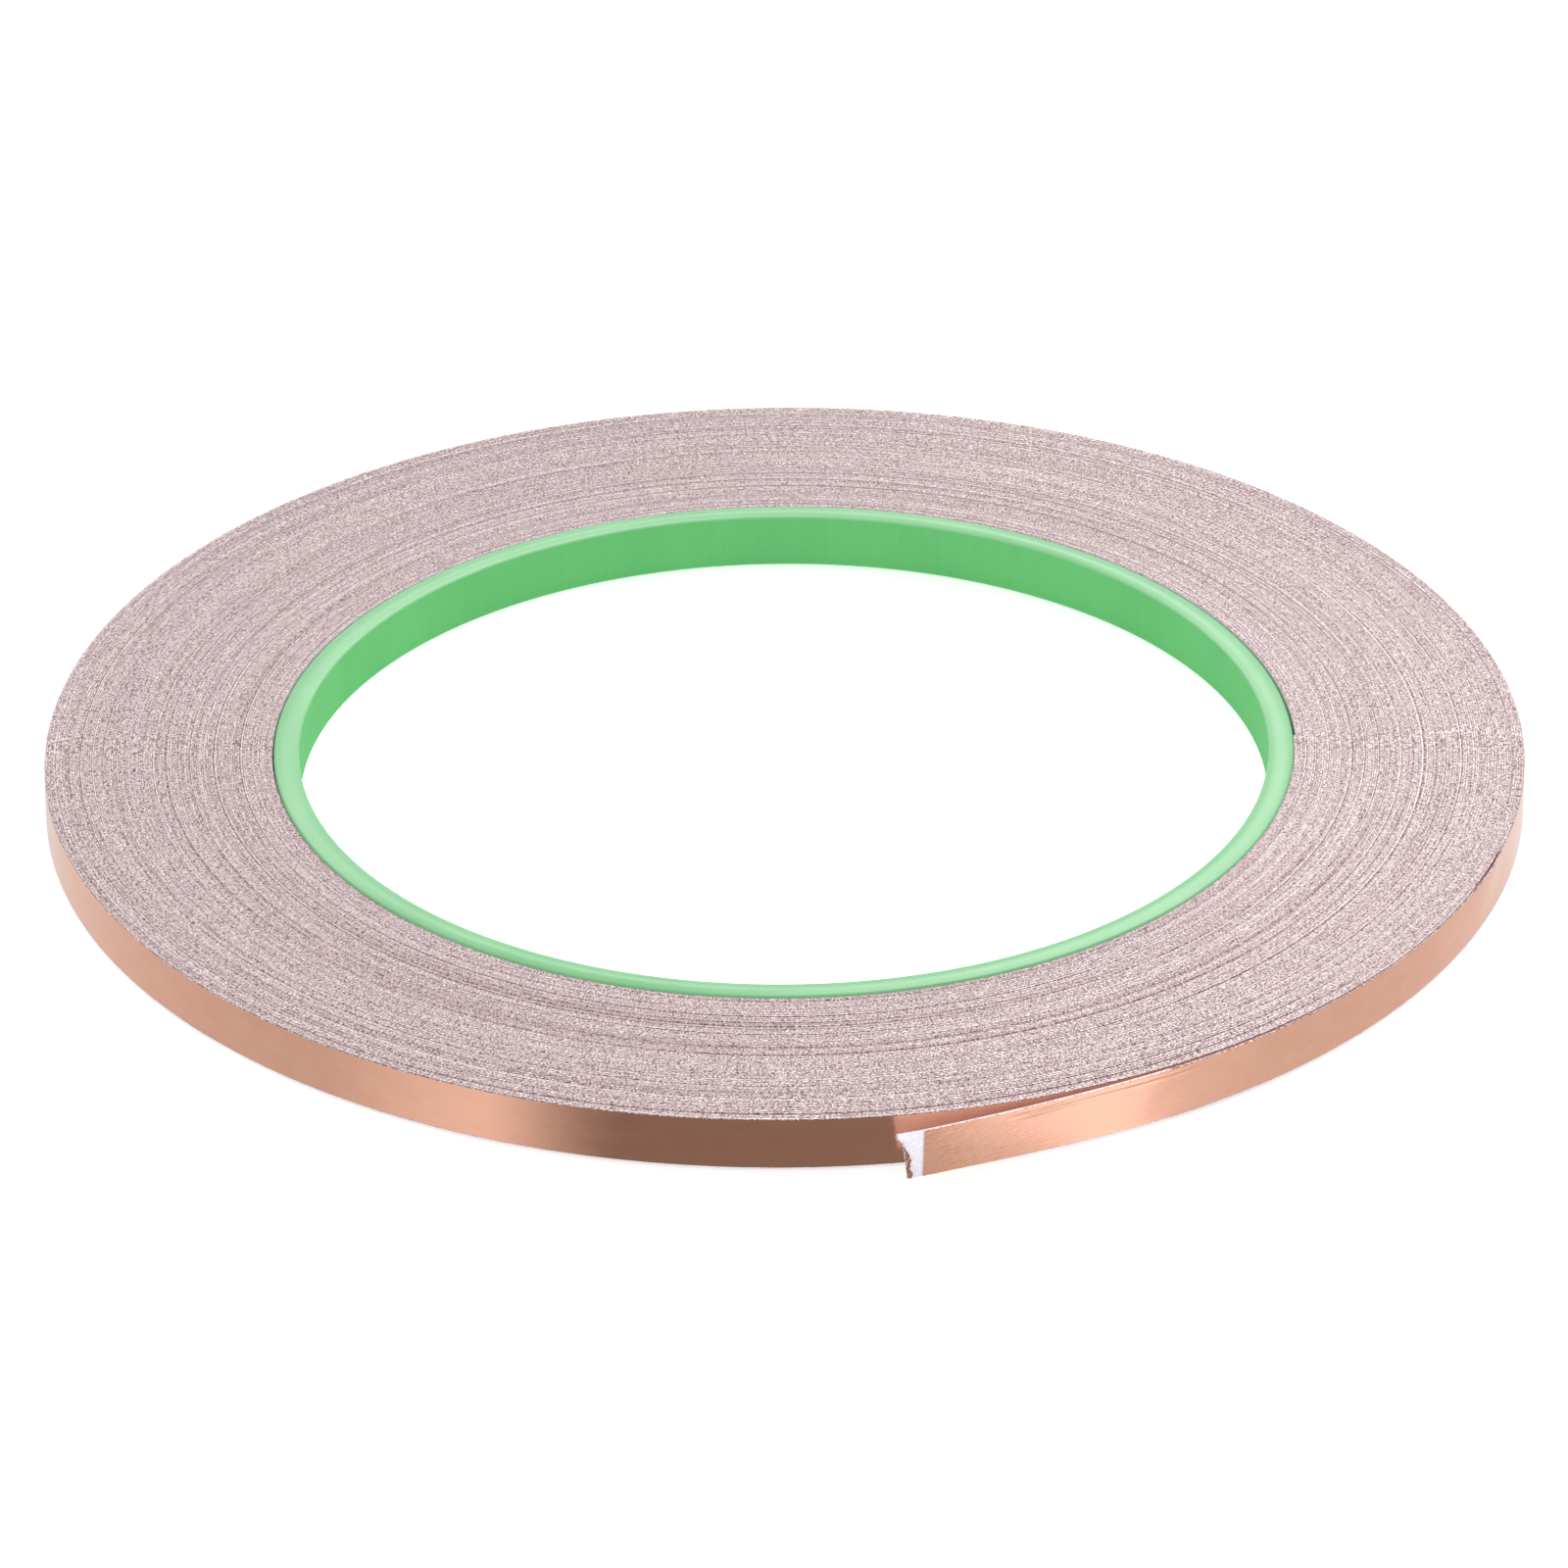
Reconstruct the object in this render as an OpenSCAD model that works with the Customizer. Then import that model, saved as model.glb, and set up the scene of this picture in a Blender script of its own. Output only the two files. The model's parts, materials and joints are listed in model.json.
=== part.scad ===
// Roll of narrow copper foil tape on a thin moulded core. The tape is a laminate of paper
// liner, adhesive and foil, wound foil side out. Its last turn stands a little loose, and its
// free end lifts off the roll. The roll lies flat: +Z is its axis, and the origin is on the
// axis at mid height. Seen from above, the tape is wound clockwise, so its free end points
// clockwise and bends outwards about hinges parallel to +Z. Millimetres throughout.

/* [Core] */
// Bore of the core, a loose fit on a 3 inch hub
core_bore_d = 76; // [70:0.5:84]
// Wall of the core, from its bore to the winding
core_wall = 2; // [1.2:0.1:4]
// Height of the core, rim to rim
core_h = 4.65; // [4.4:0.05:6]
// Rounding of the core's rim edges
rim_round = 0.35; // [0.1:0.05:0.5]

/* [Tape] */
// Width the tape is slit to
tape_w = 4.1; // [3:0.1:4.3]
// Thickness of the copper foil
foil_t = 0.05; // [0.03:0.01:0.08]
// Thickness of the adhesive under the foil
adhesive_t = 0.04; // [0.02:0.01:0.06]
// Thickness of the paper liner under the adhesive
liner_t = 0.1; // [0.06:0.01:0.14]
// Whole turns wound tight on the core
turns = 94; // [20:1:110]
// Direction of the tape's inner end, anticlockwise from +X
start_dir = 1; // [0:1:90]

/* [Loose outer wrap] */
// Angle wound past the whole turns, to the crease where the tape loosens
lap_angle = 21; // [10:1:90]
// Angle over which the last turn stands loose round the roll
loose_angle = 42; // [20:1:60]
// Radius that the loose stretch adds to the roll's own
loose_gain = 1.35; // [0.8:0.05:3]

/* [Free tail] */
// Length of the lifted tail, up to the foil's cut end
tail_len = 18; // [10:0.5:40]
// Radius of the tail's lazy curve at rest
tail_r = 156; // [80:1:300]
// Bare liner past the foil's end, along its top edge
tab_top = 2.2; // [1.6:0.02:4]
// Bare liner past the foil's end, along its bottom edge
tab_bottom = 1.25; // [0.8:0.05:1.5]
// Width of the torn scrap of foil left on the liner's end
scrap_w = 0.4; // [0.2:0.05:0.6]

/* [Hidden] */

$fn = 180;

// Number of hinged stretches in the tail, and the slit that parts one from the next
tail_parts = 4;
slit = 0.08;

// Height of each layer's inner face above the laminate's inner face, and the whole laminate
adhesive_at = liner_t;
foil_at = liner_t + adhesive_t;
pitch = liner_t + adhesive_t + foil_t;

// The path of the liner's inner face is a chain of arcs that share a tangent where they meet,
// so each centre lies on the line through the last centre and the meeting point
core_r = core_bore_d/2 + core_wall;
crease_dir = start_dir - lap_angle;
pack_r = core_r + (4*turns + 1)*pitch/4;
pack_centre = -pitch/4*dir(start_dir);
loose_r = pack_r + loose_gain;
loose_centre = pack_centre - loose_gain*dir(crease_dir);
lift_dir = crease_dir - loose_angle;
tail_centre = loose_centre - (tail_r - loose_r)*dir(lift_dir);
part_angle = turn_of(tail_len/tail_parts, tail_r);
slit_angle = turn_of(slit, tail_r);
cut_dir = lift_dir - tail_parts*part_angle;

// The foil's winding is drawn in bands, from the core outwards, each with its outermost turn
// drawn on its own. These are the turns counted up to each band's end.
band_turns = [0, floor(0.22*turns), floor(0.59*turns), turns];

// The torn end runs from the bottom edge to the top edge through these shares: how far from
// tab_bottom to tab_top, and how far up the tape's width from its middle
tear = [[0.2, -0.1], [0.42, 0.25], [0.7, 0.33], [1.03, 0.4]];
// Share of the tape's width below which the scrap of foil is still stuck on
scrap_top = 0.25;

core_colour = "#9fdda6";
liner_colour = "#f3f0ea";
adhesive_colour = "#e3d6b4";
foil_colour = "#c07d55";

function dir(angle) = [cos(angle), sin(angle)];
function turn_of(length, radius) = length/radius*180/PI;
function torn_point(share) = [
    tab_bottom + share[0]*(tab_top - tab_bottom),
    share[1]*tape_w
];

// Upright strip of thickness t that runs clockwise through span degrees from one direction
module arc_strip(centre, r, t, from, span) {
    translate([centre.x, centre.y, 0])
        rotate_extrude(angle = span, start = from - span + 360)
            translate([r, -tape_w/2])
                square([t, tape_w]);
}

// One layer of the winding, from one count of turns to another, and on to the crease if it
// takes in the last. Half-turn arcs have their centres a quarter pitch to either side of the
// axis in turn, so each ends where the next begins and a turn adds one pitch.
module wound_layer(at, t, from_turn, to_turn) {
    for (k = [2*from_turn : to_turn < turns ? 2*to_turn - 1 : 2*turns]) {
        side = k % 2 == 0 ? -1 : 1;
        span = k < 2*turns ? 180 : lap_angle;
        arc_strip(
            side*pitch/4*dir(start_dir),
            core_r + (2*k + 1)*pitch/4 + at,
            t,
            start_dir - 180*(k % 2),
            span
        );
    }
}

// One layer of the last turn's loose stretch
module loose_layer(at, t) {
    arc_strip(loose_centre, loose_r + at, t, crease_dir, loose_angle);
}

// One layer of the tail's stretch number i, counted from the roll
module tail_layer(i, at, t) {
    from = lift_dir - (i - 1)*part_angle - slit_angle;
    arc_strip(tail_centre, tail_r + at, t, from, part_angle - slit_angle);
}

// One layer past the foil's cut end, cut to an outline drawn along the tape and up it
module end_layer(at, t, outline) {
    from = cut_dir - slit_angle;
    corner = tail_centre + tail_r*dir(from);
    intersection() {
        arc_strip(tail_centre, tail_r + at, t, from, turn_of(2*tab_top, tail_r));
        translate([corner.x, corner.y, 0])
            rotate([90, 0, from - 90])
                linear_extrude(height = 4*pitch, center = true)
                    polygon(outline);
    }
}

// Rounded corner of the core's section
module rim_corner(x, y) {
    translate([x, y])
        circle(r = rim_round);
}

module core() {
    inner = core_bore_d/2;
    half = core_h/2;
    color(core_colour)
        rotate_extrude() {
            translate([inner, rim_round - half])
                square([core_wall, core_h - 2*rim_round]);
            translate([inner + rim_round, -half])
                square([core_wall - 2*rim_round, core_h]);
            for (x = [inner + rim_round, core_r - rim_round], y = [rim_round - half, half - rim_round])
                rim_corner(x, y);
        }
}

module liner_winding() {
    color(liner_colour)
        wound_layer(0, liner_t, 0, turns);
}

module adhesive_winding() {
    color(adhesive_colour)
        wound_layer(adhesive_at, adhesive_t, 0, turns);
}

// The foil's band number i, without its outermost turn
module foil_band(i) {
    color(foil_colour)
        wound_layer(foil_at, foil_t, band_turns[i - 1], band_turns[i] - 1);
}

// The outermost turn of the foil's band number i
module foil_band_outer(i) {
    color(foil_colour)
        wound_layer(foil_at, foil_t, band_turns[i] - 1, band_turns[i]);
}

module liner_loose_wrap() {
    color(liner_colour)
        loose_layer(0, liner_t);
}

module adhesive_loose_wrap() {
    color(adhesive_colour)
        loose_layer(adhesive_at, adhesive_t);
}

module foil_loose_wrap() {
    color(foil_colour)
        loose_layer(foil_at, foil_t);
}

module liner_tail(i) {
    color(liner_colour)
        tail_layer(i, 0, liner_t);
}

module adhesive_tail(i) {
    color(adhesive_colour)
        tail_layer(i, adhesive_at, adhesive_t);
}

module foil_tail(i) {
    color(foil_colour)
        tail_layer(i, foil_at, foil_t);
}

// Bare liner past the foil's end, torn off at a slant
module liner_tab() {
    outline = concat(
        [[0, -tape_w/2], [tab_bottom, -tape_w/2]],
        [for (share = tear) torn_point(share)],
        [[tab_top, tape_w/2], [0, tape_w/2]]
    );
    color(liner_colour)
        end_layer(0, liner_t, outline);
}

// Outline of the sliver left along the torn edge, from the bottom up to a point
function scrap_outline() = [
    [tab_bottom - scrap_w, -tape_w/2],
    [tab_bottom, -tape_w/2],
    torn_point(tear[0]),
    torn_point(tear[1]),
    torn_point(tear[0]) - [scrap_w, 0]
];

module adhesive_scrap() {
    color(adhesive_colour)
        end_layer(adhesive_at, adhesive_t, scrap_outline());
}

module foil_scrap() {
    color(foil_colour)
        end_layer(foil_at, foil_t, scrap_outline());
}

core();
liner_winding();
adhesive_winding();
foil_band(1);  // foil_band_1
foil_band_outer(1);  // foil_band_1_outer
foil_band(2);  // foil_band_2
foil_band_outer(2);  // foil_band_2_outer
foil_band(3);  // foil_band_3
foil_band_outer(3);  // foil_band_3_outer
liner_loose_wrap();
adhesive_loose_wrap();
foil_loose_wrap();
liner_tail(1);  // liner_tail_1
adhesive_tail(1);  // adhesive_tail_1
foil_tail(1);  // foil_tail_1
liner_tail(2);  // liner_tail_2
adhesive_tail(2);  // adhesive_tail_2
foil_tail(2);  // foil_tail_2
liner_tail(3);  // liner_tail_3
adhesive_tail(3);  // adhesive_tail_3
foil_tail(3);  // foil_tail_3
liner_tail(4);  // liner_tail_4
adhesive_tail(4);  // adhesive_tail_4
foil_tail(4);  // foil_tail_4
liner_tab();
adhesive_scrap();
foil_scrap();
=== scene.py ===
import json
import math

import bpy
import numpy as np
from mathutils import Matrix, Vector


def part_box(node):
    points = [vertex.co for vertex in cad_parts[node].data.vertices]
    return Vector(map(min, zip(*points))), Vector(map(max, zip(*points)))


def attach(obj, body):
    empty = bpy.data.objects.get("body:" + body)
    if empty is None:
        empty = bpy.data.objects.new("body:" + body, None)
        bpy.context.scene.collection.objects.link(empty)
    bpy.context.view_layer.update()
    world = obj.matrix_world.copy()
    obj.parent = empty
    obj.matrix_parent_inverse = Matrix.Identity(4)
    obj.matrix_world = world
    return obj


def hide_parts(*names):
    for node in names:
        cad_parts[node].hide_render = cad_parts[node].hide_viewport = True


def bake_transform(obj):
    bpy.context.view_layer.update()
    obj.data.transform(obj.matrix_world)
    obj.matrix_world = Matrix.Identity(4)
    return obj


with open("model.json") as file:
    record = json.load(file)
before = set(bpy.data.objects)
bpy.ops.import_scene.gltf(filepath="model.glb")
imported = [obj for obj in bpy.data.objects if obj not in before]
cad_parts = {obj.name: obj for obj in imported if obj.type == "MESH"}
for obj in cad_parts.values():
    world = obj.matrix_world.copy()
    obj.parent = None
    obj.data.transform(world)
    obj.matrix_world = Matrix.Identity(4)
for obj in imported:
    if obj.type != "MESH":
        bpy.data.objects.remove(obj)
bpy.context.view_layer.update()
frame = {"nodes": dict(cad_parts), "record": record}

# ---------------------------------------------------------------------------------------------
# Sizes, in millimetres and radians. The core's and the tape's outer sizes come from the frame;
# the laminate and the way it is wound are repeated here.
# ---------------------------------------------------------------------------------------------
MM = 0.001

CORE_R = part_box("core")[1].x / MM
CORE_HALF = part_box("core")[1].z / MM
BORE_R = next(m for m in frame["record"]["mounts"] if m["name"] == "core_bore")["dims"]["r_mm"]
TAPE_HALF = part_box("liner_winding")[1].z / MM

LINER_T = 0.10
ADHESIVE_T = 0.04
FOIL_T = 0.05
PITCH = LINER_T + ADHESIVE_T + FOIL_T
# Inner and outer face of each layer above the laminate's inner face
LAYERS = {
    "liner": (0.0, LINER_T),
    "adhesive": (LINER_T, LINER_T + ADHESIVE_T),
    "foil": (LINER_T + ADHESIVE_T, PITCH),
}

TURNS = 94
START_DIR = math.radians(1)
LAP = math.radians(21)
LOOSE = math.radians(42)
LOOSE_GAIN = 1.35
TAIL_LEN = 18.0
TAIL_R = 156.0
TAIL_PARTS = 4
SLIT = 0.08

# Bare liner past the foil's cut end. The tear runs through shares of the tape's width from its
# middle, and of the way from the tab's length at the bottom edge to its length at the top.
TAB_TOP = 2.2
TAB_BOTTOM = 1.25
TEAR_HEIGHT = (-0.5, -0.1, 0.25, 0.33, 0.4, 0.5)
TEAR_REACH = (0, 0.2, 0.42, 0.7, 1.03, 1.0)
TAB_CREASE = 0.45
SCRAP_W = 0.35

# Winding angle, clockwise from the tape's inner end, at which each stretch begins
CREASE_AT = 2 * math.pi * TURNS + LAP
LIFT_AT = CREASE_AT + LOOSE
PART = TAIL_LEN / TAIL_PARTS / TAIL_R
CUT_AT = LIFT_AT + TAIL_PARTS * PART
# Radius outside the tight turns, and half way through them
WOUND_R = CORE_R + TURNS * PITCH
MEAN_R = CORE_R + TURNS * PITCH / 2
# The tail's first piece begins half a stretch before the lift-off
BEND_AT = LIFT_AT - PART / 2 * TAIL_R / WOUND_R
# The outer turn starts under the loose stretch, where its joint with the winding is hidden
HIDDEN = math.radians(20)
OUTER_AT = CREASE_AT + HIDDEN - 2 * math.pi
# Radius by which fine detail is spaced along the outer turn and the tail, and the radius at
# which patterns that follow the turns have their true length
DETAIL_R = 58
PATTERN_R = 50

# Length of tape between two sections of a mesh
TURN_STEP = 1.75
OUTER_STEP = {"foil": 0.36, "adhesive": 0.8, "liner": 0.8}
TAIL_STEP = 0.12

# How far turns wander up and down, how far one stands proud and about every how many turns,
# and the most that any turn may be out of line
WANDER_FAST = 0.006
WANDER_SLOW = 0.007
RIDGE = 0.028
RIDGE_TURNS = 5
MOST_OUT = 0.16

# Outer turn: how far it bellies out, leans in, is creased and ripples. It is drawn in by as
# much as its ripples stand out, so that it keeps to the frame's size.
BELLY = 0.16
LEAN = 0.17
FOLD = 0.030
FOLD_BELOW_TOP = 0.36
RIPPLE = 0.0035
DENT = 0.0045
DRAWN_IN = 0.014


# ---------------------------------------------------------------------------------------------
# The tape's path
# ---------------------------------------------------------------------------------------------
def direction(angle):
    """Unit vectors (cos, sin) of angles, along a new last axis."""
    return np.stack((np.cos(angle), np.sin(angle)), axis=-1)


def path(wound):
    """Centre, radius and outward direction of the liner's inner face after an angle of winding.

    The winding is half-turn arcs whose centres swap a quarter pitch to either side of the axis.
    The loose stretch and the tail are one arc each, tangent to the arc before."""
    start = direction(np.array(START_DIR))
    half_turns = np.minimum(np.floor(wound / math.pi), 2 * TURNS)
    side = np.where(half_turns % 2 == 0, -1.0, 1.0)
    centre = side[..., None] * PITCH / 4 * start
    radius = CORE_R + (2 * half_turns + 1) * PITCH / 4

    pack_r = CORE_R + (4 * TURNS + 1) * PITCH / 4
    loose_r = pack_r + LOOSE_GAIN
    loose_centre = -PITCH / 4 * start - LOOSE_GAIN * direction(np.array(START_DIR - CREASE_AT))
    tail_centre = loose_centre - (TAIL_R - loose_r) * direction(np.array(START_DIR - LIFT_AT))
    for begins, new_centre, new_radius in (
        (CREASE_AT, loose_centre, loose_r),
        (LIFT_AT, tail_centre, TAIL_R),
    ):
        past = wound > begins
        centre = np.where(past[..., None], new_centre, centre)
        radius = np.where(past, new_radius, radius)
    return centre, radius, direction(START_DIR - wound)


def tail_length(wound):
    """Length of tail in mm between the lift-off and a winding angle; negative before it."""
    return (wound - LIFT_AT) * np.where(wound > LIFT_AT, TAIL_R, WOUND_R)


def smooth_step(low, high, x):
    """0 below low, 1 above high, and 3t^2 - 2t^3 between."""
    t = np.clip((x - low) / (high - low), 0, 1)
    return t * t * (3 - 2 * t)


def bell(x, middle, width):
    """exp(-((x - middle) / width)^2)."""
    return np.exp(-(((x - middle) / width) ** 2))


def slow_noise(x, spacing, seed):
    """Random values of unit spread at knots a spacing apart, joined by smooth steps."""
    knots = np.random.default_rng(seed).standard_normal(8192)
    place = x / spacing + 64
    low = np.floor(place).astype(int)
    t = place - low
    t = t * t * (3 - 2 * t)
    return knots[low % 8192] * (1 - t) + knots[(low + 1) % 8192] * t


def edge_shift(wound):
    """How far in mm a turn stands up out of the pack.

    Each turn wanders about a hundredth of a millimetre, and about every fifth turn stands
    prouder than its neighbours, fading in and out as it goes round. The last turns lie level."""
    turn = wound / (2 * math.pi)
    wander = WANDER_FAST * slow_noise(turn, 0.21, seed=1)
    wander = wander + WANDER_SLOW * slow_noise(turn, 0.9, seed=2)
    group = np.floor(turn / RIDGE_TURNS)
    centre = RIDGE_TURNS * (group + 0.5) + 0.6 * slow_noise(group, 1.0, seed=3)
    proud = bell(turn, centre, 0.55) - 0.5 * bell(turn, centre + 1.1, 0.5)
    ridge = RIDGE * proud * (1 + 0.4 * slow_noise(turn, 0.17, seed=4))
    settle = 1 - smooth_step(TURNS - 2.0, TURNS - 0.6, turn)
    return np.clip(wander + ridge, -MOST_OUT, MOST_OUT) * settle


def bulge(wound, z):
    """Radial offset in mm of the outer turn from its plain arcs.

    It bellies out just past the crease, leans in towards its bottom edge along the free tail,
    has a doubled crease near the lift-off that sinks slowly from its top edge, and ripples
    slightly."""
    along = tail_length(wound)
    angle = np.degrees(wound - CREASE_AT)
    height = z / TAPE_HALF
    belly = BELLY * bell(angle, 1.0, 3.2) * smooth_step(-0.6, 1.0, height)
    lean = -LEAN * smooth_step(0, TAIL_LEN, along) * (1 - height)
    line = TAPE_HALF - FOLD_BELOW_TOP - 0.02 * np.maximum(along - 3, 0)
    line = line + 0.03 * slow_noise(along, 2.3, seed=7)
    fold = FOLD * (bell(z, line, 0.10) - bell(z, line - 0.2, 0.12))
    fold = fold * (0.8 + 0.5 * slow_noise(along, 1.7, seed=8))
    fold = fold * smooth_step(-6.5, -3.5, along) * (1 - smooth_step(8.5, 11.5, along))
    ripple = RIPPLE * slow_noise(wound * DETAIL_R + 0.9 * z, 3.1, seed=5) * (1 - 0.3 * height)
    dent = DENT * slow_noise(wound * DETAIL_R - 1.7 * z, 1.3, seed=6) * smooth_step(-3, 3, along)
    return belly + lean + fold + ripple + dent - DRAWN_IN


def tape_points(wound, height, z, outer=False):
    """Points in metres at a winding angle, a height above the liner's inner face, and a level.

    The three arrays broadcast together. P = centre + (radius + height + bulge) * outward."""
    wound, height, z = np.broadcast_arrays(wound, height, z)
    centre, radius, outward = path(wound)
    if outer:
        height = height + bulge(wound, z)
    plan = centre + (radius + height)[..., None] * outward
    level = z + edge_shift(wound)
    return np.concatenate((plan, level[..., None]), axis=-1) * MM


# ---------------------------------------------------------------------------------------------
# Meshes
# ---------------------------------------------------------------------------------------------
def make_piece(name, points, faces, materials, face_material=None, sharp=30):
    """A mesh object from points, quads or rings, a list of materials and one index a face."""
    mesh = bpy.data.meshes.new(name)
    mesh.from_pydata(points.reshape(-1, 3).tolist(), [], faces)
    for material in materials:
        mesh.materials.append(material)
    if face_material is not None:
        mesh.polygons.foreach_set("material_index", np.asarray(face_material, np.int32))
    mesh.shade_smooth()
    mesh.set_sharp_from_angle(angle=math.radians(sharp))
    mesh.update()
    piece = bpy.data.objects.new(name, mesh)
    bpy.context.scene.collection.objects.link(piece)
    return piece


def ring_quads(sections, ring, close=False):
    """Quads between neighbouring closed rings of points; close joins the last ring to the first."""
    i = np.arange(sections if close else sections - 1)[:, None] * ring
    j = np.arange(ring)[None, :]
    after = (j + 1) % ring
    ahead = (i + ring) % (sections * ring)
    return np.stack((i + j, i + after, ahead + after, ahead + j), axis=-1).reshape(-1, 4)


def swept(name, points, materials, ring_material):
    """A closed strip from an array of sections, each a ring of points, with a face at each end."""
    sections, ring = points.shape[:2]
    faces = ring_quads(sections, ring).tolist()
    faces.append(list(range(ring))[::-1])
    faces.append(list(range((sections - 1) * ring, sections * ring)))
    material = np.concatenate((np.tile(ring_material, sections - 1), [1, 1]))
    return make_piece(name, points, faces, materials, material)


def thin_ring(low, high):
    """Section of a plain layer: four corners, run so that faces turn outwards, and face kinds."""
    height = np.array([low, low, high, high])
    level = np.array([-1, 1, 1, -1]) * TAPE_HALF
    return height, level, np.array([0, 1, 0, 1])


def fine_ring(low, high, rows=44, chamfer=0.010, burred=0.045):
    """Section of a layer seen close up, with a burred strip along each edge and broken corners.

    The rows up each face lie at the sine of even steps, so they crowd towards the edges."""
    inner = TAPE_HALF - burred
    rise = inner * np.sin(np.linspace(-1, 1, rows - 2) * math.pi / 2)
    rise = np.concatenate(([chamfer - TAPE_HALF], rise, [TAPE_HALF - chamfer]))
    height = np.concatenate((
        np.full(rows, low), [low + chamfer, high - chamfer],
        np.full(rows, high), [high - chamfer, low + chamfer],
    ))
    level = np.concatenate((rise, [TAPE_HALF, TAPE_HALF], rise[::-1], [-TAPE_HALF, -TAPE_HALF]))
    face = np.concatenate(([1], np.zeros(rows - 3), [1, 1, 1, 1]))
    return height, level, np.concatenate((face, face)).astype(int)


def burr(wound, level, seed):
    """Draws the cut edges out into fine teeth, about a hundredth of a millimetre long."""
    along = wound * DETAIL_R
    tooth = np.abs(0.007 * slow_noise(along, 0.17, seed) + 0.004 * slow_noise(along, 0.6, seed + 1))
    at_edge = np.abs(level) > 0.97 * TAPE_HALF
    return level * (1 + tooth * at_edge / TAPE_HALF)


def tape_stretch(name, layer, begins, ends, step, materials, outer=False):
    """One layer of the tape between two winding angles, with a section every step mm.

    Only the outer turn's foil shows its whole width, so it alone has the finer section."""
    fine = outer and layer == "foil"
    ring = fine_ring if fine else thin_ring
    height, level, kind = ring(*LAYERS[layer])
    length = (ends - begins) * (TAIL_R if begins > LIFT_AT else MEAN_R)
    count = max(3, int(math.ceil(length / step)) + 1)
    wound = np.linspace(begins, ends, count)[:, None]
    if fine:
        level = burr(wound, level[None, :], seed=21)
    points = tape_points(wound, height, level, outer)
    return swept(name, points, materials, kind)


# ---------------------------------------------------------------------------------------------
# Materials
# ---------------------------------------------------------------------------------------------
def linear(code):
    """Linear RGBA of an sRGB hex colour."""
    channels = [int(code[i:i + 2], 16) / 255 for i in (1, 3, 5)]
    return (*(c / 12.92 if c <= 0.04045 else ((c + 0.055) / 1.055) ** 2.4 for c in channels), 1.0)


def feed(tree, node, inputs):
    """Sets a node's inputs, by name or number, or links them to outputs of other nodes."""
    for key, value in inputs.items():
        if isinstance(value, bpy.types.NodeSocket):
            tree.links.new(value, node.inputs[key])
        else:
            node.inputs[key].default_value = value


def add(tree, kind, inputs, stops=(), **settings):
    """Adds a node with its settings, inputs and links, and a ramp's stops: places and colours."""
    node = tree.nodes.new("ShaderNode" + kind)
    for key, value in settings.items():
        setattr(node, key, value)
    feed(tree, node, inputs)
    for _ in range(len(stops) - 2):
        node.color_ramp.elements.new(0.5)
    for number, (place, colour) in enumerate(stops):
        node.color_ramp.elements[number].position = place
        node.color_ramp.elements[number].color = colour
    return node


def new_material(name, **shader):
    """A material with a Principled shader, its plain values set on the shader's own sockets."""
    material = bpy.data.materials.new(name)
    material.use_nodes = True
    tree = material.node_tree
    body = tree.nodes["Principled BSDF"]
    feed(tree, body, {key.replace("_", " "): value for key, value in shader.items()})
    return material, tree, body


def object_grain(tree, size, stretch=(1, 1, 1), detail=2.0, roughness=0.5):
    """Noise in object space whose features are size mm across, stretched along each axis."""
    place = add(tree, "TexCoord", {})
    scale = tuple(1 / (size * MM * s) for s in stretch)
    mapped = add(tree, "Mapping", {"Vector": place.outputs["Object"], "Scale": scale})
    return add(tree, "TexNoise", {
        "Vector": mapped.outputs["Vector"], "Scale": 1.0, "Detail": detail, "Roughness": roughness,
    }).outputs["Fac"]


def round_grain(tree, across, along, up=1.0, detail=2.0, roughness=0.5):
    """Noise that follows the turns: features so many mm across them, along them and up.

    It is read at the radius plus the level, and at the two parts of the outward direction, so
    it closes on itself with no seam."""
    place = add(tree, "TexCoord", {})
    parts = add(tree, "SeparateXYZ", {"Vector": place.outputs["Object"]})
    flat = add(tree, "CombineXYZ", {"X": parts.outputs["X"], "Y": parts.outputs["Y"]})
    radius = add(tree, "VectorMath", {0: flat.outputs["Vector"]}, operation="LENGTH")
    outward = add(tree, "VectorMath", {0: flat.outputs["Vector"]}, operation="NORMALIZE")
    turned = add(tree, "VectorMath", {
        0: outward.outputs["Vector"], 1: (PATTERN_R / along, PATTERN_R / along, 0),
    }, operation="MULTIPLY")
    turned = add(tree, "SeparateXYZ", {"Vector": turned.outputs["Vector"]})
    reach = add(tree, "Math", {
        0: radius.outputs["Value"], 1: 1 / (across * MM),
    }, operation="MULTIPLY")
    reach = add(tree, "Math", {
        0: parts.outputs["Z"], 1: 1 / (up * MM), 2: reach.outputs[0],
    }, operation="MULTIPLY_ADD")
    spot = add(tree, "CombineXYZ", {
        "X": reach.outputs[0], "Y": turned.outputs["X"], "Z": turned.outputs["Y"],
    })
    return add(tree, "TexNoise", {
        "Vector": spot.outputs["Vector"], "Scale": 1.0, "Detail": detail, "Roughness": roughness,
    }).outputs["Fac"]


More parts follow.
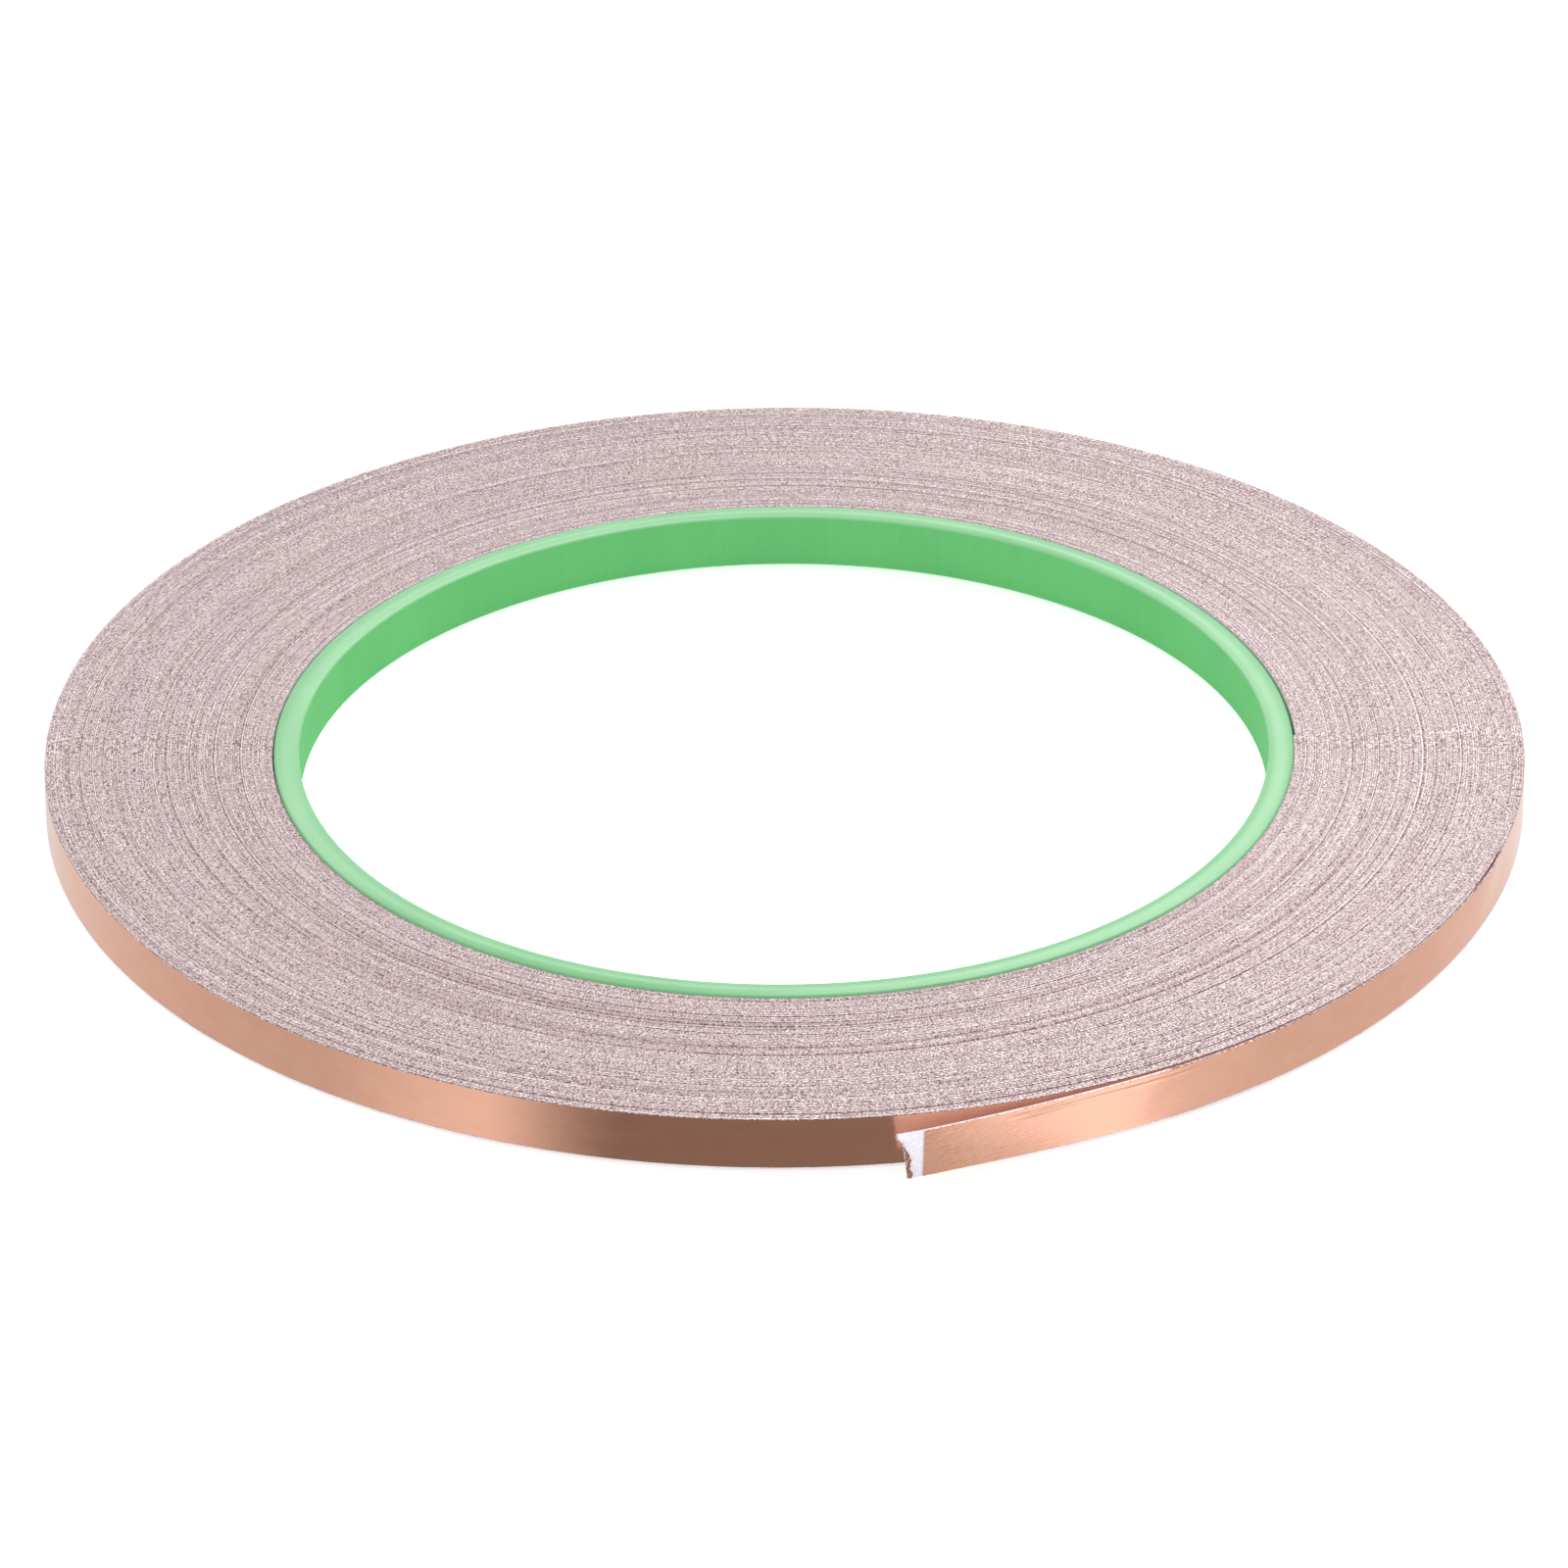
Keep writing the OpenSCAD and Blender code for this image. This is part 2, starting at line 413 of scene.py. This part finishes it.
def dress(tree, body, colour, relief=None, rough=None):
    """Gives a shader its colour, relief and gloss from noises.

    Colour and roughness are each a noise, the span of it that counts, and the values at the
    span's two ends, in hex for the colour. Relief is a noise, its depth in mm and its strength."""
    noise, span, ends = colour
    stops = [(place, linear(code)) for place, code in zip(span, ends)]
    ramp = add(tree, "ValToRGB", {"Fac": noise}, stops)
    feed(tree, body, {"Base Color": ramp.outputs["Color"]})
    if relief:
        noise, depth, strength = relief
        bump = add(tree, "Bump", {"Height": noise, "Distance": depth * MM, "Strength": strength})
        feed(tree, body, {"Normal": bump.outputs["Normal"]})
    if rough:
        noise, (start, end), (first, last) = rough
        gloss = add(tree, "MapRange", {
            "Value": noise, "From Min": start, "From Max": end, "To Min": first, "To Max": last,
        })
        feed(tree, body, {"Roughness": gloss.outputs["Result"]})


# Span of a noise from its usual low to its usual high
USUAL = (0.3, 0.7)

# Painted light and shade through one group of turns: a painted highlight where a turn stands proud,
# then its painted shadow, on an even ground
LIT_AND_SHADED_LINES = ((0.0, 0.5), (0.42, 0.5), (0.48, 0.90), (0.54, 0.15), (0.61, 0.5), (1.0, 0.5))


def edge_grain_and_painted_lines(tree):
    """Grain that the slitting knife leaves across all three layers' edges, coarse enough to show,
    with a painted highlight line and a painted shadow line round the roll at about every fifth
    turn."""
    grain = round_grain(tree, 0.14, 0.16, 0.14, 1.5, 0.6)
    streak = round_grain(tree, 0.14, 60.0, 1.0, 1.0)
    drift = round_grain(tree, 1.4, 150.0, 9.0, 1.0)
    place = add(tree, "TexCoord", {})
    flat = add(tree, "VectorMath", {
        0: place.outputs["Object"], 1: (1, 1, 0),
    }, operation="MULTIPLY")
    radius = add(tree, "VectorMath", {0: flat.outputs["Vector"]}, operation="LENGTH")
    group = add(tree, "Math", {
        0: radius.outputs["Value"], 1: 1 / (RIDGE_TURNS * PITCH * MM),
    }, operation="MULTIPLY")
    group = add(tree, "Math", {0: drift, 1: 1.1, 2: group.outputs[0]}, operation="MULTIPLY_ADD")
    phase = add(tree, "Math", {0: group.outputs[0]}, operation="FRACT")
    painted_line_greys = [(at, (tone, tone, tone, 1)) for at, tone in LIT_AND_SHADED_LINES]
    # The ramp paints a highlight line where a proud turn catches the light, then its shadow line
    line = add(tree, "ValToRGB", {"Fac": phase.outputs[0]}, painted_line_greys)
    line = add(tree, "SeparateXYZ", {"Vector": line.outputs["Color"]})
    tone = add(tree, "Mix", {0: 0.22, 2: grain, 3: streak})
    # A quarter of the tone is this painted light and shade
    tone = add(tree, "Mix", {0: 0.26, 2: tone.outputs[0], 3: line.outputs["X"]})
    return tone.outputs[0], grain


def rolled_copper():
    """Cold-rolled copper foil: bright pink metal, with fine lines along the tape that smear its
    reflections up and down, and slow waves of haze. The lines are coarser than real ones."""
    material, tree, body = new_material("rolled copper foil", Metallic=1.0)
    lines = round_grain(tree, 1.0, 6.0, 0.09, 3.0)
    brush = round_grain(tree, 1.0, 0.7, 0.20, 3.0, 0.6)
    haze = round_grain(tree, 3.0, 2.2, 1.6, 3.0)
    scratches = add(tree, "Mix", {0: 0.5, 2: lines, 3: brush}).outputs[0]
    tone = add(tree, "Mix", {0: 0.5, 2: scratches, 3: haze}).outputs[0]
    dress(
        tree, body,
        colour=(tone, USUAL, ("#f2b59b", "#f9c2a8")),
        relief=(scratches, 0.016, 0.6),
        rough=(tone, USUAL, (0.12, 0.20)),
    )
    return material


def slit_copper():
    """Copper edge left by the slitting knife: torn and rough, with painted glints in its near-white
    specks and painted highlight and shadow lines at the proud turns.
    """
    material, tree, body = new_material("knife-slit copper edge", Metallic=1.0)
    tone, grain = edge_grain_and_painted_lines(tree)
    dress(
        tree, body,
        # The near-white end of this ramp paints glints on the specks
        colour=(tone, (0.40, 0.61), ("#84605a", "#fdeae6")),
        relief=(grain, 0.05, 0.8),
        rough=(grain, (0.35, 0.62), (0.62, 0.30)),
    )
    return material


def burred_copper():
    """Cut edge of the free strip: copper that the knife has drawn into fine teeth. Its pink is the
    copper's own; its near-white specks are a painted highlight along the edge.
    """
    material, tree, body = new_material("burred copper edge", Metallic=1.0)
    teeth = round_grain(tree, 0.2, 0.22, 0.12, 2.0, 0.6)
    dress(
        tree, body,
        colour=(teeth, (0.36, 0.56), ("#d99a80", "#fff1e8")),
        relief=(teeth, 0.03, 0.7),
        rough=(teeth, USUAL, (0.40, 0.24)),
    )
    return material


def release_paper():
    """Calendered release paper: smooth, faintly bluish white, with a soft fibre mottle."""
    material, tree, body = new_material("white release paper", Roughness=0.62)
    fibre = object_grain(tree, 0.12, (1.6, 1.6, 1), 4.0, 0.65)
    dress(
        tree, body,
        colour=(fibre, (0.3, 0.6), ("#dbd6e1", "#f7f5fa")),
        relief=(fibre, 0.012, 0.5),
    )
    return material


def slit_paper():
    """Cut edge of the liner: dull fibres, greyed and flecked where dust and copper cling, with
    painted highlight and shadow lines at the proud turns.
    """
    material, tree, body = new_material("slit edge of release paper", Roughness=0.85)
    tone, grain = edge_grain_and_painted_lines(tree)
    dress(
        tree, body,
        colour=(tone, (0.40, 0.61), ("#655056", "#e8dadf")),
        relief=(grain, 0.05, 0.8),
    )
    return material


def acrylic_adhesive():
    """Clear acrylic adhesive seen at its edge: a dark, slightly glossy tan line, crossed by painted
    highlight and shadow lines at the proud turns.
    """
    material, tree, body = new_material("clear acrylic adhesive", IOR=1.47)
    tone, grain = edge_grain_and_painted_lines(tree)
    dress(
        tree, body,
        colour=(tone, (0.40, 0.60), ("#5d4645", "#c0a6a6")),
        relief=(grain, 0.03, 0.6),
        rough=(grain, USUAL, (0.5, 0.28)),
    )
    return material


def lit_rim_plastic():
    """Injection-moulded polypropylene in mint green: soft gloss, slightly translucent, with the
    faint cloudiness and fine orange-peel of the mould. Its green is lighter and paler than the
    bore's: painted light on the rims."""
    material, tree, body = new_material(
        "mint green polypropylene rims with painted light",
        IOR=1.49, Subsurface_Weight=0.2, Subsurface_Radius=(0.6, 1.0, 0.6), Subsurface_Scale=0.001,
    )
    cloud = object_grain(tree, 9.0)
    peel = object_grain(tree, 0.35)
    dress(
        tree, body,
        colour=(cloud, USUAL, ("#82c38b", "#8ac992")),
        relief=(peel, 0.004, 0.5),
        rough=(peel, USUAL, (0.19, 0.26)),
    )
    return material


def matt_bore():
    """The same polypropylene on the bore, where the mould's core pin leaves it matt, in the darker
    green that the rims lighten with painted light.
    """
    material, tree, body = new_material(
        "matt bore of the polypropylene core", IOR=1.49, Specular_IOR_Level=0.12,
    )
    cloud = object_grain(tree, 7.0, (1, 1, 2))
    drag = round_grain(tree, 2.0, 0.6, 5.0, 3.0)
    tone = add(tree, "Mix", {0: 0.4, 2: cloud, 3: drag}).outputs[0]
    dress(
        tree, body,
        colour=(tone, USUAL, ("#63b86e", "#6ac175")),
        relief=(drag, 0.003, 0.4),
        rough=(drag, USUAL, (0.60, 0.72)),
    )
    return material


def pale_floor():
    """Matt white acrylic sweep under the roll, lit from below so that it stays white."""
    material, tree, body = new_material(
        "matt white sweep",
        Roughness=0.9, Emission_Color=(1, 1, 1, 1), Emission_Strength=0.50,
    )
    dress(tree, body, colour=(object_grain(tree, 40.0), USUAL, ("#f6f6f6", "#f9f9f9")))
    return material


COPPER = rolled_copper()
COPPER_EDGE = slit_copper()
COPPER_BURR = burred_copper()
PAPER = release_paper()
PAPER_EDGE = slit_paper()
ADHESIVE = acrylic_adhesive()
LIT_RIM_PLASTIC = lit_rim_plastic()
BORE = matt_bore()
# Faces and edges of each layer, on the roll and on the free tail
WOUND_FINISH = {
    "foil": [COPPER, COPPER_EDGE], "adhesive": [ADHESIVE, ADHESIVE], "liner": [PAPER, PAPER_EDGE],
}
FREE_FINISH = {
    "foil": [COPPER, COPPER_BURR], "adhesive": [ADHESIVE, ADHESIVE], "liner": [PAPER, PAPER],
}


# ---------------------------------------------------------------------------------------------
# The core
# ---------------------------------------------------------------------------------------------
def corner(centre_r, centre_z, radius, begin, end, steps=10):
    """Arc of a section, between two angles in degrees: its centre plus radius * (cos, sin)."""
    return (centre_r, centre_z) + radius * direction(np.radians(np.linspace(begin, end, steps)))


def core_ring():
    """The core's section turned round the axis.

    Each rim is a shallow crown, an arc across the wall, rounded off into the outer wall and,
    more sharply, into the bore."""
    out, inn, crown = 0.30, 0.20, 0.12
    outer = corner(CORE_R - out, CORE_HALF - crown - out, out, 0, 80)
    inner = corner(BORE_R + inn, CORE_HALF - crown - inn, inn, 100, 180)
    across = np.linspace(-1, 1, 17)[1:-1]
    middle = (inner[0] + outer[-1]) / 2
    half = (outer[-1] - inner[0]) / 2
    arc = middle - across[:, None] * half
    arc[:, 1] = np.minimum(arc[:, 1] + crown * (1 - across**2), CORE_HALF)
    upper = np.concatenate((outer, arc, inner))
    section = np.concatenate((upper, upper[::-1] * (1, -1)))
    steps = 360
    angle = np.linspace(0, 2 * math.pi, steps, endpoint=False)[:, None]
    points = np.stack((
        section[:, 0] * np.cos(angle),
        section[:, 0] * np.sin(angle),
        np.broadcast_to(section[:, 1], (steps, len(section))),
    ), axis=-1) * MM
    faces = ring_quads(steps, len(section), close=True)[:, ::-1].tolist()
    on_bore = section[:, 0] < BORE_R + 0.02
    bore = np.tile((on_bore & np.roll(on_bore, -1)).astype(int), steps)
    ring = make_piece("core_ring", points, faces, [LIT_RIM_PLASTIC, BORE], bore, sharp=60)
    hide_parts("core")
    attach(ring, "roll")


# ---------------------------------------------------------------------------------------------
# The tape
# ---------------------------------------------------------------------------------------------
def winding(layer):
    """A layer's tight turns, and its outer turn with the loose stretch."""
    materials = WOUND_FINISH[layer]
    turns = tape_stretch(layer + "_turns", layer, 0, OUTER_AT, TURN_STEP, materials)
    outer = tape_stretch(
        layer + "_outer_turn", layer, OUTER_AT, BEND_AT, OUTER_STEP[layer], materials, outer=True,
    )
    tight = (layer + "_winding", layer + "_band")
    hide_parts(*[node for node in frame["nodes"] if node.startswith(tight)])
    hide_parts(layer + "_loose_wrap")
    for piece in (turns, outer):
        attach(piece, "roll")


def centreline(wound):
    """Point in metres half way through the laminate at a winding angle, at mid height."""
    point = tape_points(np.array([wound]), np.array([PITCH / 2]), np.array([0.0]))[0]
    return point * (1, 1, 0)


def tail(layer):
    """A layer's tail, cut at mid stretch into pieces; the end piece is attached to the last tail
    body.
    """
    materials = FREE_FINISH[layer]
    bodies = ["roll"] + ["tail_%d" % (i + 1) for i in range(TAIL_PARTS)]
    begins = BEND_AT
    for i in range(TAIL_PARTS):
        ends = LIFT_AT + (i + 0.5) * PART
        name = "%s_bend_%d" % (layer, i + 1)
        piece = tape_stretch(name, layer, begins, ends, TAIL_STEP, materials, outer=True)
        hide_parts("%s_tail_%d" % (layer, i + 1))
        centreline(begins)
        centreline(ends)
        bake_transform(piece)
        begins = ends
    end = tape_stretch(layer + "_end", layer, begins, CUT_AT, TAIL_STEP, materials, outer=True)
    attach(end, bodies[-1])


def cut(z):
    """The foil's cut end, at each level: square across the tape."""
    return 0 * z


def torn_edge(z):
    """How far in mm the bare liner runs past the foil's cut end, at each level."""
    reach = np.interp(z / (2 * TAPE_HALF), TEAR_HEIGHT, TEAR_REACH)
    ragged = 0.06 * slow_noise(z, 0.16, seed=11) + 0.04 * slow_noise(z, 0.07, seed=12)
    return TAB_BOTTOM + reach * (TAB_TOP - TAB_BOTTOM) - np.abs(ragged)


def scrap_end(z):
    """Where the scrap of foil ends, just short of the torn edge."""
    return torn_edge(z) - 0.01


def scrap_start(z):
    """Where the scrap of foil begins: its width tapers away a quarter of the way up the tape."""
    taper = 1 - smooth_step(-0.05, 0.26, z / (2 * TAPE_HALF))
    uneven = 1 + 0.25 * slow_noise(z, 0.4, seed=17)
    return torn_edge(z) - (SCRAP_W * taper * uneven + 0.012)


def paper_curl(s, z):
    """The bare liner is creased a little past the foil and bends in from there, with its torn
    top corner less bent."""
    crease = -0.09 * np.maximum(s - TAB_CREASE, 0)
    corner_curl = 0.05 * smooth_step(0.9, 2.0, s) * smooth_step(0.8, 2.0, z)
    fuzz = 0.008 * slow_noise(s * 3 + z, 0.3, seed=14)
    return crease + corner_curl + fuzz


def end_plate(name, layer, near, far, materials, rows=64, columns=24):
    """A layer past the foil's cut end, between two outlines, each a function of the level.

    The plate is a closed grid. At each level a ring of points runs out along the inner face and
    back along the outer one, bent by paper_curl and leaning as the tail's end does."""
    z = np.linspace(-TAPE_HALF, TAPE_HALF, rows)[:, None]
    s = near(z) + (far(z) - near(z)) * np.linspace(0, 1, columns)
    z = np.broadcast_to(z, s.shape)
    wound = CUT_AT + s / TAIL_R
    lean = bulge(np.full_like(s, CUT_AT), z)[..., None] * path(wound)[2] * MM
    inner, outer = (tape_points(wound, height + paper_curl(s, z), z) for height in LAYERS[layer])
    for sheet in (inner, outer):
        sheet[..., :2] += lean
    points = np.concatenate((inner, outer[:, ::-1]), axis=1)
    kind = np.zeros(2 * columns, int)
    kind[[columns - 1, -1]] = 1
    piece = swept(name, points, materials, kind)
    return piece


def torn_end():
    """The bare end of the liner, and the scrap of foil still stuck along its torn edge."""
    paper = end_plate("liner_torn_end", "liner", cut, torn_edge, FREE_FINISH["liner"])
    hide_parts("liner_tab")
    fold = centreline(CUT_AT + SLIT / 2 / TAIL_R)
    past = centreline(CUT_AT + 5 * SLIT / TAIL_R)
    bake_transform(paper)
    for layer in ("adhesive", "foil"):
        scrap = end_plate(
            layer + "_scrap_edge", layer, scrap_start, scrap_end, WOUND_FINISH[layer], columns=8,
        )
        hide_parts(layer + "_scrap")
        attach(scrap, "liner_end")


core_ring()
for layer_name in ("liner", "adhesive", "foil"):
    winding(layer_name)
    tail(layer_name)
torn_end()


# ---------------------------------------------------------------------------------------------
# Floor, light and camera
# ---------------------------------------------------------------------------------------------
def floor():
    """Plain square sweep that the core's rim rests on."""
    half = 2.0
    corners = np.array([[-half, -half, 0], [half, -half, 0], [half, half, 0], [-half, half, 0]])
    corners[:, 2] = -CORE_HALF * MM
    sweep = make_piece("sweep", corners, [[0, 1, 2, 3]], [pale_floor()])
    sweep.visible_glossy = False


def softbox(name, place, size, power, aim):
    """Square area light that looks at a point."""
    data = bpy.data.lights.new(name, "AREA")
    data.size = size
    data.energy = power
    lamp = bpy.data.objects.new(name, data)
    bpy.context.scene.collection.objects.link(lamp)
    lamp.location = place
    lamp.rotation_mode = "QUATERNION"
    lamp.rotation_quaternion = (Vector(aim) - Vector(place)).to_track_quat("-Z", "Y")


# Brightness of the cards and gaps round the table, by azimuth in degrees from the front, with
# the right-hand side positive
CARDS = (
    (-180, 0.85), (-140, 0.80), (-100, 0.66), (-76, 0.62), (-60, 0.82), (-46, 0.97), (-36, 0.50),
    (-28, 0.25), (20, 0.27), (40, 0.30), (44.5, 0.34), (48, 0.72), (51, 1.35), (55, 1.55),
    (59, 1.05), (63, 0.86), (82, 0.73), (110, 0.74), (140, 0.86), (180, 1.0),
)
# Brightness of the dome, and what a soft band high up at the back adds to it
DOME = 0.74
BAND = 2.0
# Upward part of a ray's direction over which each of these comes in. It is -1 straight down.
CARDS_IN = (-0.9, -0.68)
DOME_IN = (-0.12, 0.02)
BAND_FOOT = (0.44, 0.50)
BAND_HEAD = (0.74, 0.64)
# Backward part of a ray's direction over which the band comes in
BAND_BACK = (0.0, 0.6)
# Share of the cards' brightness that is left straight down
BELOW = 0.9


# Below the first brightness a gap between the cards turns warm, and at the second it is warmest
WARM_BELOW = 0.6
WARMEST = 0.25


def card_colour(value):
    """Grey of a card or a gap, the warmer the darker it is."""
    warmth = max(0.0, WARM_BELOW - value) / (WARM_BELOW - WARMEST)
    return (value, value * (1 - 0.10 * warmth), value * (1 - 0.16 * warmth), 1)


def studio_light():
    """White dome above. Below the horizon, where only glossy rays reach, it is dark towards the
    front and pale round the sides and back, as white cards beside a dark camera would be."""
    world = bpy.data.worlds.new("studio")
    bpy.context.scene.world = world
    world.use_nodes = True
    tree = world.node_tree
    ray = add(tree, "TexCoord", {})
    parts = add(tree, "SeparateXYZ", {"Vector": ray.outputs["Generated"]}).outputs
    front = add(tree, "Math", {0: parts["Y"], 1: -1.0}, operation="MULTIPLY")
    azimuth = add(tree, "Math", {0: parts["X"], 1: front.outputs[0]}, operation="ARCTAN2")
    turn = add(tree, "Math", {
        0: azimuth.outputs[0], 1: 0.5 / math.pi, 2: 0.5,
    }, operation="MULTIPLY_ADD")
    ring = [(angle / 360 + 0.5, card_colour(value)) for angle, value in CARDS]
    ramp = add(tree, "ValToRGB", {"Fac": turn.outputs[0]}, ring)
    nadir, above, foot, head, back = (
        add(tree, "MapRange", {
            "Value": parts[part], "From Min": start, "From Max": full, "To Min": least,
        }).outputs["Result"]
        for part, (start, full), least in (
            ("Z", CARDS_IN, BELOW), ("Z", DOME_IN, 0.0), ("Z", BAND_FOOT, 0.0),
            ("Z", BAND_HEAD, 0.0), ("Y", BAND_BACK, 0.0),
        )
    )
    cards = add(tree, "VectorMath", {0: ramp.outputs["Color"], 1: nadir}, operation="MULTIPLY")
    band = add(tree, "Math", {0: foot, 1: head}, operation="MULTIPLY")
    band = add(tree, "Math", {0: band.outputs[0], 1: back}, operation="MULTIPLY")
    dome = add(tree, "Math", {0: band.outputs[0], 1: BAND, 2: DOME}, operation="MULTIPLY_ADD")
    sky = add(tree, "Mix", {
        0: above, 4: cards.outputs["Vector"], 5: dome.outputs[0],
    }, data_type="VECTOR")
    feed(tree, tree.nodes["Background"], {"Color": sky.outputs[1]})


def camera():
    """Long lens, looking down at the roll's front."""
    pitch, roll = math.radians(28.957), math.radians(-0.34)
    place = np.array([0, -741.7, 408.75]) * MM
    forward = np.array([0, math.cos(pitch), -math.sin(pitch)])
    right = np.array([1.0, 0, 0])
    up = np.cross(right, forward)
    turned_right = math.cos(roll) * right + math.sin(roll) * up
    turned_up = -math.sin(roll) * right + math.cos(roll) * up
    data = bpy.data.cameras.new("view")
    data.sensor_width = 36
    data.lens = 247.5
    data.clip_start = 0.05
    data.clip_end = 10
    eye = bpy.data.objects.new("view", data)
    bpy.context.scene.collection.objects.link(eye)
    matrix = np.eye(4)
    matrix[:3] = np.stack((turned_right, turned_up, -forward, place), axis=-1)
    eye.matrix_world = Matrix(matrix.tolist())
    bpy.context.scene.camera = eye


floor()
studio_light()
softbox("top softbox", (0.09, 0.18, 0.32), 0.20, 0.42, (0.02, -0.03, 0))
softbox("back softbox", (0.055, 0.17, 0.11), 0.08, 0.018, (0.03, -0.03, 0))
camera()
bpy.context.scene.view_settings.view_transform = "Standard"
